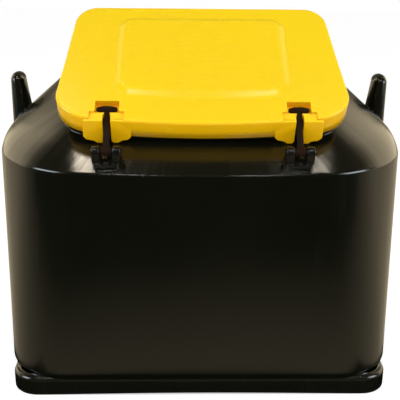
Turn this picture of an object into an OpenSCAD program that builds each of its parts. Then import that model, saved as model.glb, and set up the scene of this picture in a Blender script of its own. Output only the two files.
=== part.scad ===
// Bulk storage bin: a rotationally moulded body with a hipped top, a lid on the front slope
// that is hinged along the ridge, and two rubber draw latches on clevis brackets.
// X runs to the right, Y to the back and Z up. The origin is under the middle of the base.

/* [Body] */
// Width across the straight part of the sides, at the shoulder
body_w = 1098; // [1000:2:1200]
// Depth over the bowed front and back, at the shoulder
body_d = 964; // [900:2:1040]
// Height of the front shoulder edge
shoulder_z = 648; // [600:1:700]
// How much further out each side is at the shoulder than at the foot
side_draft = 12; // [6:1:20]
// How much further out the front is at the shoulder than at the foot
front_draft = 28; // [20:1:40]
// How far the front bows out at the shoulder
front_bow = 64; // [40:1:80]
// How far each side bows out at the shoulder
side_bow = 16; // [8:1:24]
// How far each side bows out at the foot
foot_side_bow = 9; // [4:1:12]
// Radius of the upright corners at the shoulder
corner_r = 228; // [180:1:260]
// Radius of the upright corners at the foot
foot_corner_r = 160; // [120:1:180]
// Wall thickness of the moulded body
wall = 6; // [5:0.5:8]
// Height of the plinth
plinth_h = 58; // [46:1:70]
// How far the sides stand out past the plinth at the foot, and twice as far as the front does
plinth_inset = 18; // [12:1:22]
// Corner radius of the plinth
plinth_corner_r = 75; // [60:1:90]
// Height of the shallow arch under the front and back of the plinth
plinth_arch = 7; // [4:1:10]
// Fillet of the plinth's lower edge
plinth_edge_r = 6; // [4:1:10]
// Fillet of the plinth's upper edge
plinth_top_r = 14; // [10:1:18]
// Height over which the walls turn under at their foot
foot_turn_h = 15; // [10:1:20]

/* [Top] */
// Slope of the front and back of the top along the middle
roof_slope = 34.5; // [33:0.5:36]
// Height at which the planes of the side wall and the side slope meet
side_shoulder_z = 688; // [660:1:710]
// Slope of the sides of the top
side_slope = 42.6; // [40:0.2:46]
// Radius of the roll between side wall and side slope
side_roll_r = 85; // [60:1:110]
// Fillet along the front and back shoulder edges
shoulder_r = 10; // [6:1:14]
// Half the depth of the flat crest along the ridge
ridge_half_d = 36; // [30:1:46]

/* [Horns] */
// Height of each horn's tip
horn_top_z = 832; // [800:1:860]
// Width of a horn below its rounded tip
horn_w = 42; // [34:1:52]
// Depth of a horn below its rounded tip
horn_d = 76; // [60:1:90]
// How much wider a horn is at its root
horn_flare = 38; // [26:1:48]

/* [Lid] */
// Distance up the slope from the shoulder edge to the lid's front edge
lid_front_u = 110; // [100:1:120]
// Height of the skirt's lower edge over the slope
lid_gap = 18; // [16:1:24]
// Distance from the lid's rear edge to the line where the front and rear slopes would meet
lid_back = 24; // [20:1:30]
// Width of the lid near its front
lid_w = 776; // [750:1:790]
// Width of the lid at its rear edge
lid_rear_w = 694; // [670:1:710]
// Depth of the skirt with the lid's top
skirt_h = 56; // [52:1:62]
// How far the front edge bows out
lid_front_bow = 34; // [24:1:40]
// Radius of the front corners in plan
lid_front_r = 92; // [80:1:110]
// Radius of the rear corners in plan
lid_rear_r = 62; // [50:1:70]
// Fillet round the top edge
lid_edge_r = 7; // [5:1:10]
// Wall thickness of the lid
lid_wall = 5; // [4:0.5:6]
// Half the width of the raised panel
panel_half_w = 234; // [215:1:245]
// Distance from the lid's front edge to the raised panel
panel_front = 84; // [76:1:94]
// Length of the raised panel
panel_len = 322; // [300:1:330]
// Height of the raised panel
panel_h = 10; // [6:1:12]
// Width of the slope round the raised panel
panel_slope_w = 26; // [16:1:30]

/* [Mouth] */
// Clearance between the collar and the inside of the lid's skirt
collar_clearance = 8; // [6:1:12]
// Clearance between the collar's rim and the underside of the keeper tubs
rim_clearance = 0.3; // [0.2:0.1:0.6]

/* [Hinge] */
// Distance of each hinge from the middle
hinge_x = 165; // [140:1:180]
// Distance of the hinge line behind the lid's rear edge
hinge_back = 22; // [21:1:26]
// Height of the hinge line over the skirt's lower edge
hinge_up = 12; // [10:1:14]
// Diameter of the hinge rods
hinge_pin_d = 12; // [10:0.5:14]
// Radius of the lid's knuckles and of the body's lugs about the rod
knuckle_r = 15; // [14:0.5:17]
// Length of each of the lid's knuckles
knuckle_len = 60; // [50:1:70]
// Thickness of each lug on the body
lug_t = 20; // [16:1:24]
// Side clearance between a knuckle and a lug
hinge_side_gap = 1; // [0.5:0.1:1.5]
// Radial clearance of the rods in the knuckles and lugs
pin_clearance = 0.08; // [0.04:0.01:0.1]

/* [Keepers] */
// Distance from the lid's side to the middle of each keeper and latch
latch_inset = 143; // [134:1:152]
// Width over the two cheeks of a keeper
keeper_w = 122; // [116:1:130]
// Width of the slot between the cheeks
slot_w = 20; // [19:0.5:22]
// How far the cheeks' upper edge stands out in front of the skirt
cheek_out = 2; // [1:0.5:5]
// How much further out the cheeks stand at their foot
cheek_lean = 10; // [6:1:14]
// How far the ledge over the cheeks lies below the lid's top
ledge_drop = 5; // [3:0.5:7]
// Height of the cheeks
cheek_h = 60; // [54:1:62]
// Width of the recessed ledge
ledge_w = 88; // [80:1:94]
// Width of the pocket for the T-bar
pocket_w = 61; // [60:0.5:66]
// Distance from the cheeks' front faces to the pocket's rear wall
pocket_back = 66; // [64:1:72]
// Depth of the pocket below the lid's top
pocket_depth = 18; // [17:1:20]

/* [Latches] */
// Distance up the slope from the shoulder edge to the latch pins
pin_u = 59; // [54:1:64]
// Height of the latch pins over the slope
pin_w = 25; // [23:1:28]
// Diameter of the latch pins
latch_pin_d = 8; // [6:0.5:10]
// Distance from the pin to the middle of the T-bar
latch_len = 112; // [108:1:116]
// Angle between the strap and the slope when hooked
latch_angle = 22.5; // [21:0.5:24]
// Length of the T-bar
t_bar_len = 55; // [50:1:57]
// Diameter of the T-bar at its middle
t_bar_d = 18; // [14:0.5:19]
// Width of the strap
strap_w = 16.5; // [14:0.5:17.5]
// Thickness of the strap
strap_t = 9; // [7:0.5:10]
// Width of the collar that rests in the mouth of the keeper's slot
collar_w = 19; // [17.5:0.25:19.25]
// Distance from the middle of the T-bar to the collar
collar_back = 28; // [25:0.5:30]
// Width of the neck between collar and T-bar
neck_w = 11; // [9:0.5:12]
// Width of the latch at its pivot eye
eye_w = 28; // [25:0.5:30]
// Radius of the pivot eye
eye_r = 10; // [9:0.5:12]
// Clearance between the T-bar and the keeper's seat
seat_clearance = 0.4; // [0.3:0.1:0.6]

/* [Brackets] */
// Width over the two ears
bracket_w = 72; // [68:1:76]
// Gap between the ears
ear_gap = 32; // [31:0.5:34]
// Length of the base plate along the slope
bracket_len = 68; // [62:1:70]
// Thickness of the base plate
base_t = 6; // [5:0.5:7]
// Height of the moulded pad's face below the slope line of the middle
pad_drop = 2; // [1:0.5:3]
// Corner radius of the base plate
base_corner_r = 9; // [6:1:12]
// Radius of the ears about the pin
ear_r = 14; // [13:0.5:16]
// Distance from the pin to the bolt line, down the slope and up it
bolt_reach = 24; // [22:0.5:26]

/* [Fasteners] */
// Thread diameter of the bracket bolts
bolt_d = 6; // [5:1:6]
// Length of the bolts under the head
bolt_len = 20; // [16:1:24]
// Outside diameter of the threaded inserts
insert_d = 14; // [12:1:16]
// Length of the threaded inserts
insert_len = 16; // [14:1:20]
// Outside diameter of the retaining rings on the latch pins
latch_ring_d = 15; // [13:0.5:16]
// Outside diameter of the retaining rings on the hinge rods
hinge_ring_d = 22; // [19:0.5:24]
// Thickness of the retaining rings
ring_t = 2; // [1.5:0.5:3]

/* [Hidden] */
left = -1;
right = 1;
corner_steps = 8;
flank_steps = 5;

// Half sizes of the body at the shoulder, and the depth of its straight flanks
half_w = body_w / 2;
half_d = body_d / 2;
flank_d = half_d - front_bow;
flank_slope = atan(tan(roof_slope) * half_d / flank_d);
ridge_z = shoulder_z + (half_d - ridge_half_d) * tan(roof_slope);

// Places along the slope: u is measured up it from the shoulder edge, w square to it
lid_len = half_d / cos(roof_slope) - lid_front_u - lid_back;
lid_top_w = lid_gap + skirt_h;
lid_rear_u = lid_front_u + lid_len;
hinge_u = lid_rear_u + hinge_back;
hinge_w = lid_gap + hinge_up;
rim_w = lid_top_w - pocket_depth - lid_wall - rim_clearance;
front_curve = lid_front_bow / pow(lid_w / 2, 2);
latch_x = lid_w / 2 - latch_inset;
cheek_u = lid_front_u + front_curve * pow(latch_x, 2) - cheek_out;
ledge_w_level = lid_top_w - ledge_drop;
seat_r = latch_len - t_bar_d / 2 - seat_clearance;
collar_at = latch_len - collar_back;
collar_end_u = pin_u + (collar_at + 7) * cos(latch_angle) + 3;
pad_w = -pad_drop;
bolt_us = [pin_u - bolt_reach, pin_u + bolt_reach];
bracket_mid_u = pin_u;

function clamp(value, low, high) = min(max(value, low), high);
function lerp(from, to, share) = from + (to - from) * share;

// Half a size at height z: a drafted wall, a fillet of radius r, and a slope
function roofed(z, corner_z, foot, top, slope, r) =
    let (
        tangent = r * tan((90 - slope) / 2),
        start_z = corner_z - tangent,
        end_z = corner_z + tangent * sin(slope),
        wall_here = lerp(foot, top, (z - plinth_h) / (corner_z - plinth_h)),
        wall_start = lerp(foot, top, (start_z - plinth_h) / (corner_z - plinth_h)),
        roll = wall_start - r + sqrt(max(0, r * r - pow(z - start_z, 2)))
    )
    z <= start_z ? wall_here : z < end_z ? min(wall_here, roll) : top - (z - corner_z) / tan(slope);

function body_half_w(z) = roofed(z, side_shoulder_z, half_w - side_draft, half_w, side_slope, side_roll_r);
function body_flank_d(z) =
    roofed(z, shoulder_z, half_d - front_draft, flank_d, flank_slope, shoulder_r);
function rise(z) = clamp((z - plinth_h) / (shoulder_z - plinth_h), 0, 1);
function roof_share(z) = z > shoulder_z ? max(0, body_flank_d(z) / flank_d) : 1;
function body_corner_r(z) = lerp(foot_corner_r, corner_r, rise(z)) * lerp(0.6, 1, roof_share(z));

// A closed ring of points: a rounded rectangle whose sides are bowed out
function arc_point(q, share, a, b, r) =
    let (sx = (q == 0 || q == 3) ? 1 : -1, sy = q < 2 ? 1 : -1, turn = 90 * (q + share))
    [sx * (a - r) + r * cos(turn), sy * (b - r) + r * sin(turn)];
function rounded_ring(a, b, r) = [
    for (q = [0:3]) each concat(
        [for (i = [0:corner_steps]) arc_point(q, i / corner_steps, a, b, r)],
        [for (j = [1:flank_steps - 1])
            lerp(arc_point(q, 1, a, b, r), arc_point((q + 1) % 4, 0, a, b, r), j / flank_steps)]
    )
];
function bow_out(p, a, b, bow_x, bow_y) = [
    p.x * (1 + bow_x / a * (1 - pow(p.y / b, 2))),
    p.y * (1 + bow_y / b * (1 - pow(p.x / a, 2)))
];
function body_ring(z, inset) =
    let (
        a = body_half_w(z) - inset,
        b = body_flank_d(z) - inset,
        r = min(body_corner_r(z) - inset, a * 0.8, b * 0.8),
        bow_x = lerp(foot_side_bow, side_bow, rise(z)) * roof_share(z),
        bow_y = front_bow * rise(z) * roof_share(z)
    )
    [for (p = rounded_ring(a, b, r)) bow_out(p, a, b, bow_x, bow_y)];
function plinth_ring(inset) =
    let (a = half_w - side_draft + foot_side_bow - plinth_inset - inset,
         b = half_d - front_draft - plinth_inset / 2 - inset)
    rounded_ring(a, b, plinth_corner_r - inset);

// A closed solid through rings of equally many points, each at its own height,
// with each end closed by a fan about its middle
module loft(rings, heights) {
    count = len(rings[0]);
    last = len(rings) - 1;
    function middle(ring) = [for (axis = [0, 1]) (max([for (p = ring) p[axis]]) + min([for (p = ring) p[axis]])) / 2];
    points = concat(
        [for (k = [0:last]) for (p = rings[k]) [p.x, p.y, heights[k]]],
        [[each middle(rings[0]), heights[0]], [each middle(rings[last]), heights[last]]]
    );
    foot = (last + 1) * count;
    sides = [
        for (k = [0:last - 1]) for (i = [0:count - 1])
            let (n = (i + 1) % count, low = k * count, high = low + count)
            each [[low + i, high + i, high + n], [low + i, high + n, low + n]]
    ];
    bottom = [for (i = [0:count - 1]) [foot, i, (i + 1) % count]];
    top = [for (i = [0:count - 1]) [foot + 1, last * count + (i + 1) % count, last * count + i]];
    polyhedron(points = points, faces = concat(sides, bottom, top), convexity = 8);
}

// Heights of the body's rings, closer together where the surface turns
roll_tangent = side_roll_r * tan((90 - side_slope) / 2);
roll_end_z = side_shoulder_z + roll_tangent * sin(side_slope);
edge_tangent = shoulder_r * tan((90 - flank_slope) / 2);
wall_heights = [shoulder_z - edge_tangent];
edge_heights = [shoulder_z - edge_tangent * 0.35, shoulder_z, shoulder_z + edge_tangent * sin(flank_slope)];
roll_heights = [for (i = [1:5]) lerp(shoulder_z + shoulder_r, roll_end_z, i / 5)];
roof_heights = [for (i = [1:2]) lerp(roll_end_z, ridge_z, i / 2)];
body_heights = concat(wall_heights, edge_heights, roll_heights, roof_heights);

// Rings of the plinth, from its lower fillet to the groove under the walls
function plinth_rings(inset) = [
    for (grow = [plinth_edge_r, plinth_edge_r * 0.3, 0, 0, plinth_top_r * 0.25, plinth_top_r * 0.86])
        plinth_ring(inset + grow)
];
function plinth_heights(low, drop) = [
    low, low + plinth_edge_r * 0.3, low + plinth_edge_r,
    plinth_h - plinth_top_r - drop, plinth_h - plinth_top_r * 0.36 - drop, plinth_h - plinth_top_r * 0.14 - drop
];

// Where the walls turn under at their foot: shares of the height and of the inset
foot_turn = [[0, 0.4], [0.4, 0.12], [1, 0]];
function foot_rings(inset) = [
    for (turn = foot_turn) body_ring(plinth_h + turn[0] * foot_turn_h, inset + turn[1] * foot_turn_h)
];
function foot_heights(lift) = [for (turn = foot_turn) plinth_h + turn[0] * foot_turn_h + lift];

module body_outer() {
    loft(
        concat(plinth_rings(0), foot_rings(0), [for (z = body_heights) body_ring(z, 0)]),
        concat(plinth_heights(0, 0), foot_heights(0), body_heights)
    );
}

// The cavity follows the outside at one wall's distance: in from the sides, down from the top,
// and past the groove between plinth and walls
module body_cavity() {
    groove = plinth_top_r * 0.86;
    loft(
        concat(
            plinth_rings(wall), [plinth_ring(wall + groove)],
            foot_rings(wall), [for (z = body_heights) body_ring(z, wall)]
        ),
        concat(
            plinth_heights(plinth_arch + wall, wall), [plinth_h - plinth_top_r * 0.14 + wall],
            foot_heights(wall), [for (z = body_heights) z - wall]
        )
    );
}

// A wide shallow arch through the plinth from front to back
module plinth_arch_cut() {
    span = body_w / 2 - plinth_corner_r;
    outline = [for (i = [0:12]) let (x = lerp(-span, span, i / 12)) [x, plinth_arch * (1 - pow(x / span, 2))]];
    rotate([90, 0, 0])
        linear_extrude(height = body_d + 100, center = true)
            polygon(concat(outline, [[span, -5], [-span, -5]]));
}

// Places its children on the front slope: their Y runs up the slope and their Z stands square to it
module on_slope() {
    translate([0, -half_d, shoulder_z]) rotate([roof_slope, 0, 0]) children();
}

// The lid's outline at an inset: tapered to the rear, with a bowed front edge
function lid_ring(inset) =
    let (
        a = lid_w / 2 - inset,
        b = lid_len / 2 - inset,
        mid = lid_front_u + lid_len / 2,
        taper = (lid_w - lid_rear_w) / 2 / lid_len
    )
    [
        for (q = [0:3])
            let (r = (q < 2 ? lid_rear_r : lid_front_r) - inset, next_r = ((q + 1) % 4 < 2 ? lid_rear_r : lid_front_r) - inset)
            each [
                for (p = concat(
                    [for (i = [0:corner_steps]) arc_point(q, i / corner_steps, a, b, r)],
                    [for (j = [1:flank_steps - 1])
                        lerp(arc_point(q, 1, a, b, r), arc_point((q + 1) % 4, 0, a, b, next_r), j / flank_steps)]
                ))
                    let (front = clamp(-p.y / b, 0, 1), back = (p.y + b) / (2 * b))
                    [
                        p.x - sign(p.x) * abs(p.x / a) * taper * lid_len * back,
                        mid + p.y + lid_front_bow * pow(p.x / a, 2) * front
                    ]
            ]
    ];

// The neck round the mouth, closed at its foot inside the body
collar_outset = lid_wall + collar_clearance;
collar_foot = -190;
module collar_solid(inset, foot_w, top_w) {
    on_slope() loft([lid_ring(inset), lid_ring(inset)], [foot_w, top_w]);
}

// An oval ring, squarer as its power goes down
function oval_ring(w, d, shift, power) = [
    for (i = [0:23]) let (t = 15 * i)
        [shift + w / 2 * sign(cos(t)) * pow(abs(cos(t)), power), d / 2 * sign(sin(t)) * pow(abs(sin(t)), power)]
];

// A horn: rings that narrow from the root and close in a round tip
module horn(side) {
    outer_x = half_w + side_bow;
    dome = horn_w / 2;
    root_z = shoulder_z - 40;
    neck_z = horn_top_z - dome;
    root_w = horn_w + horn_flare;
    straight = [
        for (s = [0, 0.35, 0.7, 1])
            let (w = lerp(root_w, horn_w, pow(s, 0.8)), d = lerp(horn_d + horn_flare, horn_d, pow(s, 0.8)))
            oval_ring(w, d, outer_x - w / 2, 0.8)
    ];
    tip = [
        for (t = [22.5, 45, 67.5, 82])
            oval_ring(horn_w * cos(t), horn_d * lerp(1, cos(t), 0.85), outer_x - dome, 0.8)
    ];
    heights = concat(
        [for (s = [0, 0.35, 0.7, 1]) lerp(root_z, neck_z, s)],
        [for (t = [22.5, 45, 67.5, 82]) neck_z + dome * sin(t)]
    );
    mirror([side < 0 ? 1 : 0, 0, 0]) loft(concat(straight, tip), heights);
}

// Places its children at a hinge, with their Z along the rod
module at_hinge(side) {
    on_slope() translate([side * hinge_x, hinge_u, hinge_w]) rotate([90, 0, 90]) children();
}
lug_inner = knuckle_len / 2 + hinge_side_gap;
hinge_bore_r = hinge_pin_d / 2 + pin_clearance;

// One hinge's pair of lugs, before the bore is drilled; their feet end inside the roof's skin
hinge_y = -half_d + hinge_u * cos(roof_slope) - hinge_w * sin(roof_slope);
hinge_z = shoulder_z + hinge_u * sin(roof_slope) + hinge_w * cos(roof_slope);
module hinge_lugs(side) {
    foot_z = ridge_z - wall / 2;
    for (s = [-1, 1])
        translate([side * hinge_x + s * (lug_inner + lug_t / 2), 0, 0])
            rotate([90, 0, 90])
                linear_extrude(height = lug_t, center = true)
                    union() {
                        translate([hinge_y, hinge_z]) circle(r = knuckle_r, $fn = 32);
                        // kept behind the skirt's lower edge, and behind its path as the lid opens
                        polygon([
                            [hinge_y - knuckle_r * 0.6, hinge_z - knuckle_r * 0.8],
                            [hinge_y - knuckle_r * 0.47, hinge_z - knuckle_r * 1.75],
                            [hinge_y - knuckle_r, foot_z], [hinge_y + knuckle_r + 24, foot_z],
                            [hinge_y + knuckle_r * 0.96, hinge_z + knuckle_r * 0.28]
                        ]);
                    }
}
module hinge_bore(side, length) {
    at_hinge(side) cylinder(r = hinge_bore_r, h = length, center = true, $fn = 48);
}

// The outline of a bracket's base plate, and the moulded pad under it with room for the inserts
module base_outline() {
    offset(r = base_corner_r)
        square([bracket_w - 8 - 2 * base_corner_r, bracket_len - 2 * base_corner_r], center = true);
}
module bracket_pad(side) {
    pad_depth = insert_len + 4;
    on_slope()
        translate([side * latch_x, bracket_mid_u, pad_w - pad_depth])
            linear_extrude(height = pad_depth) base_outline();
}
module at_bolts(side) {
    for (u = bolt_us) on_slope() translate([side * latch_x, u, pad_w]) children();
}

module bin_body() {
    color([0.05, 0.05, 0.045])
        difference() {
            union() {
                difference() {
                    union() {
                        body_outer();
                        collar_solid(collar_outset, collar_foot, rim_w);
                        for (side = [left, right]) horn(side);
                        for (side = [left, right]) hinge_lugs(side);
                    }
                    body_cavity();
                    collar_solid(collar_outset + wall, collar_foot, rim_w + 20);
                }
                for (side = [left, right]) bracket_pad(side);
            }
            plinth_arch_cut();
            for (side = [left, right]) {
                hinge_bore(side, 2 * (lug_inner + lug_t) + 2);
                at_bolts(side) translate([0, 0, -insert_len]) cylinder(d = insert_d, h = insert_len + 1, $fn = 32);
            }
        }
}

// The lid's shell, with the raised panel
edge_turns = [0, 30, 60, 90];
module lid_shell(inset, low_w) {
    top_w = lid_top_w - inset;
    edge_r = max(2, lid_edge_r - inset);
    heights = concat([low_w], [for (t = edge_turns) top_w - edge_r * (1 - sin(t))]);
    insets = concat([inset], [for (t = edge_turns) inset + edge_r * (1 - cos(t))]);
    loft([for (i = insets) lid_ring(i)], heights);
    panel_outline = function (grow)
        let (
            a = panel_half_w - inset / 2 + grow,
            b = panel_len / 2 - inset / 2 + grow,
            mid = lid_front_u + panel_front + panel_len / 2
        )
        [for (p = rounded_ring(a, b, 44 + grow)) [p.x, mid + p.y + 14 * pow(p.x / a, 2) * clamp(-p.y / b, 0, 1)]];
    loft(
        [panel_outline(2), panel_outline(0), panel_outline(-panel_slope_w / 2), panel_outline(-panel_slope_w)],
        [top_w - 1, top_w + panel_h * 0.12, top_w + panel_h * 0.85, top_w + panel_h]
    );
}

// A keeper before its slot and pocket are cut: two cheeks in front, a tub inside the lid
module keeper_block(side) {
    half = keeper_w / 2;
    low = ledge_w_level - cheek_h;
    nub_low = low - 11;
    inner_u = cheek_u + cheek_out + lid_wall;
    nub = [slot_w / 2 + 2, slot_w / 2 + 25];
    front_outline = [
        [slot_w / 2, low - 4], [nub[0] + 3, nub_low], [nub[1] - 8, nub_low], [nub[1], low - 4],
        [half - 8, low], [half, low + 9], [half, ledge_w_level - 4], [half - 3, ledge_w_level],
        [slot_w / 2, ledge_w_level]
    ];
    side_outline = [
        [cheek_u - cheek_lean, nub_low], [inner_u, nub_low], [inner_u, ledge_w_level], [cheek_u, ledge_w_level]
    ];
    translate([side * latch_x, 0, 0]) {
        for (s = [-1, 1])
            mirror([s < 0 ? 1 : 0, 0, 0])
                intersection() {
                    translate([0, inner_u, 0])
                        rotate([90, 0, 0]) linear_extrude(height = inner_u - cheek_u + cheek_lean) polygon(front_outline);
                    rotate([90, 0, 90]) linear_extrude(height = half) polygon(side_outline);
                }
        tub_back = cheek_u + pocket_back + lid_wall;
        tub_low = lid_top_w - pocket_depth - lid_wall;
        translate([-ledge_w / 2 - lid_wall, cheek_u + 8, tub_low])
            cube([ledge_w + 2 * lid_wall, tub_back - cheek_u - 8, lid_top_w - tub_low - lid_edge_r / 4]);
    }
}
module keeper_cuts(side) {
    floor_w = lid_top_w - pocket_depth;
    neck_slot_w = neck_w + 3;
    translate([side * latch_x, 0, 0]) {
        // the ledge, a little below the lid's top
        translate([-ledge_w / 2, cheek_u - cheek_lean, ledge_w_level])
            cube([ledge_w, pocket_back * 0.45 + cheek_lean, 60]);
        // the pocket, whose front wall is an arc about the latch pin
        difference() {
            translate([-pocket_w / 2, cheek_u + 10, floor_w])
                cube([pocket_w, pocket_back - 10, 60]);
            translate([0, pin_u, pin_w])
                rotate([0, 90, 0])
                    cylinder(r = seat_r, h = pocket_w + 10, center = true, $fn = 180);
        }
        // the slot for the strap, open to the front and to the top, and narrower behind the collar
        translate([-slot_w / 2, cheek_u - cheek_lean - 1, -40])
            cube([slot_w, collar_end_u - cheek_u + cheek_lean + 1, 200]);
        translate([-neck_slot_w / 2, collar_end_u - 1, -40])
            cube([neck_slot_w, pin_u + seat_r + 5 - collar_end_u, 200]);
    }
}

module lid() {
    color([1, 0.84, 0.05])
        difference() {
            union() {
                on_slope()
                    difference() {
                        union() {
                            difference() {
                                lid_shell(0, lid_gap);
                                lid_shell(lid_wall, lid_gap - 1);
                            }
                            for (side = [left, right]) keeper_block(side);
                        }
                        for (side = [left, right]) keeper_cuts(side);
                    }
                for (side = [left, right]) lid_knuckle(side);
            }
            for (side = [left, right]) hinge_bore(side, knuckle_len + 2);
        }
}
module lid_knuckle(side) {
    on_slope()
        translate([side * hinge_x, 0, 0])
            rotate([90, 0, 90])
                linear_extrude(height = knuckle_len, center = true)
                    union() {
                        translate([hinge_u, hinge_w]) circle(r = knuckle_r, $fn = 64);
                        polygon([
                            [lid_rear_u - lid_wall / 2, lid_gap + 1],
                            [hinge_u, hinge_w - knuckle_r],
                            [hinge_u, hinge_w + knuckle_r],
                            [lid_rear_u - lid_wall / 2, hinge_w + knuckle_r + 14]
                        ]);
                    }
}

// Places its children at a latch pin, with X across and Y along the strap
module at_latch(side) {
    on_slope() translate([side * latch_x, pin_u, pin_w]) rotate([latch_angle, 0, 0]) children();
}
// The strap with its collar and neck: place along it, width and thickness
strap_sections = [
    [2, eye_w * 0.9, strap_t * 1.5],
    [eye_r, eye_w * 0.78, strap_t * 1.25],
    [eye_r + 7, strap_w * 1.04, strap_t],
    [collar_at - 14, strap_w, strap_t],
    [collar_at - 6, strap_w, strap_t * 1.1],
    [collar_at - 1, collar_w, strap_t * 1.4],
    [collar_at + 2, collar_w, strap_t * 1.4],
    [collar_at + 7, neck_w * 1.15, strap_t * 1.15],
    [collar_at + 12, neck_w, strap_t],
    [latch_len - t_bar_d * 0.5, neck_w, strap_t],
    [latch_len - t_bar_d * 0.2, neck_w * 1.3, strap_t * 1.1]
];
module latch(side) {
    color([0.09, 0.07, 0.06])
        at_latch(side)
            difference() {
                union() {
                    rotate([0, 90, 0]) cylinder(r = eye_r, h = eye_w, center = true, $fn = 48);
                    rotate([-90, 0, 0])
                        loft([for (s = strap_sections) oval_ring(s[1], s[2], 0, 0.6)], [for (s = strap_sections) s[0]]);
                    // the T-bar, a lens that is thickest at its middle
                    translate([0, latch_len, 0])
                        rotate([0, 90, 0])
                            rotate_extrude($fn = 32)
                                polygon(concat(
                                    [[0, -t_bar_len / 2]],
                                    [for (i = [0:12]) let (share = i / 6 - 1)
                                        [t_bar_d / 2 * (0.32 + 0.68 * sqrt(1 - share * share)), share * (t_bar_len / 2 - 0.5)]],
                                    [[0, t_bar_len / 2]]
                                ));
                }
                rotate([0, 90, 0])
                    cylinder(r = latch_pin_d / 2 + pin_clearance, h = eye_w + 2, center = true, $fn = 48);
            }
}

module bracket(side) {
    ear_t = (bracket_w - ear_gap) / 2;
    color([0.12, 0.12, 0.13])
        on_slope()
            translate([side * latch_x, 0, 0])
                difference() {
                    union() {
                        translate([0, bracket_mid_u, pad_w])
                            linear_extrude(height = base_t) base_outline();
                        for (s = [-1, 1])
                            translate([s * (ear_gap + ear_t) / 2, 0, 0])
                                rotate([90, 0, 90])
                                    linear_extrude(height = ear_t, center = true)
                                        polygon(concat(
                                            [for (i = [0:12]) let (t = -10 + 15 * i)
                                                [pin_u + ear_r * cos(t), pin_w + ear_r * sin(t)]],
                                            [[pin_u - ear_r - 8, pad_w + 2], [pin_u + ear_r + 6, pad_w + 2]]
                                        ));
                    }
                    translate([0, pin_u, pin_w])
                        rotate([0, 90, 0])
                            cylinder(r = latch_pin_d / 2 + pin_clearance, h = bracket_w + 2, center = true, $fn = 48);
                    for (u = bolt_us)
                        translate([0, u, pad_w - 1]) cylinder(d = bolt_d + 1, h = base_t + 2, $fn = 32);
                }
}

module latch_pin(side) {
    color([0.6, 0.6, 0.6])
        on_slope()
            translate([side * latch_x, pin_u, pin_w])
                rotate([0, 90, 0])
                    cylinder(d = latch_pin_d, h = bracket_w + 2 * ring_t + 4, center = true, $fn = 48);
}
module latch_pin_rings(side) {
    color([0.5, 0.5, 0.5])
        for (s = [-1, 1])
            on_slope()
                translate([side * latch_x + s * (bracket_w / 2 + ring_t / 2 + 0.3), pin_u, pin_w])
                    rotate([0, 90, 0])
                        difference() {
                            cylinder(d = latch_ring_d, h = ring_t, center = true, $fn = 32);
                            cylinder(d = latch_pin_d + 2 * pin_clearance, h = ring_t + 1, center = true, $fn = 48);
                        }
}

module bracket_bolts(side) {
    color([0.65, 0.65, 0.66])
        at_bolts(side) {
            translate([0, 0, base_t + 1.5]) cylinder(d = bolt_d * 1.65, h = bolt_d * 0.65, $fn = 6);
            translate([0, 0, base_t + 1.5 - bolt_len]) cylinder(d = bolt_d, h = bolt_len, $fn = 32);
        }
}
module bracket_washers(side) {
    color([0.7, 0.7, 0.7])
        at_bolts(side)
            translate([0, 0, base_t])
                difference() {
                    cylinder(d = bolt_d * 2.2, h = 1.5, $fn = 32);
                    translate([0, 0, -1]) cylinder(d = bolt_d + 0.16, h = 4, $fn = 32);
                }
}
module bracket_inserts(side) {
    color([0.75, 0.6, 0.3])
        at_bolts(side)
            translate([0, 0, -insert_len])
                difference() {
                    cylinder(d = insert_d - 0.1, h = insert_len, $fn = 32);
                    translate([0, 0, -1]) cylinder(d = bolt_d + 0.16, h = insert_len + 2, $fn = 32);
                }
}

hinge_pin_len = 2 * (lug_inner + lug_t) + 2 * ring_t + 6;
module hinge_pin(side) {
    color([0.6, 0.6, 0.62]) at_hinge(side) cylinder(d = hinge_pin_d, h = hinge_pin_len, center = true, $fn = 48);
}
module hinge_rings(side) {
    color([0.5, 0.5, 0.5])
        at_hinge(side)
            for (s = [-1, 1])
                translate([0, 0, s * (lug_inner + lug_t + ring_t / 2 + 0.3)])
                    difference() {
                        cylinder(d = hinge_ring_d, h = ring_t, center = true, $fn = 32);
                        cylinder(d = hinge_pin_d + 2 * pin_clearance, h = ring_t + 1, center = true, $fn = 48);
                    }
}

bin_body();
lid();
latch(left);  // left_latch
latch(right);  // right_latch
bracket(left);  // left_bracket
bracket(right);  // right_bracket
latch_pin(left);  // left_latch_pin
latch_pin(right);  // right_latch_pin
latch_pin_rings(left);  // left_latch_pin_rings
latch_pin_rings(right);  // right_latch_pin_rings
bracket_bolts(left);  // left_bracket_bolts
bracket_bolts(right);  // right_bracket_bolts
bracket_washers(left);  // left_bracket_washers
bracket_washers(right);  // right_bracket_washers
bracket_inserts(left);  // left_bracket_inserts
bracket_inserts(right);  // right_bracket_inserts
hinge_pin(left);  // left_hinge_pin
hinge_pin(right);  // right_hinge_pin
hinge_rings(left);  // left_hinge_rings
hinge_rings(right);  // right_hinge_rings
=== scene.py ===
import math
import bmesh
import bpy
from mathutils import Matrix, Vector
from mathutils.bvhtree import BVHTree
from mathutils.geometry import barycentric_transform


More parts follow.
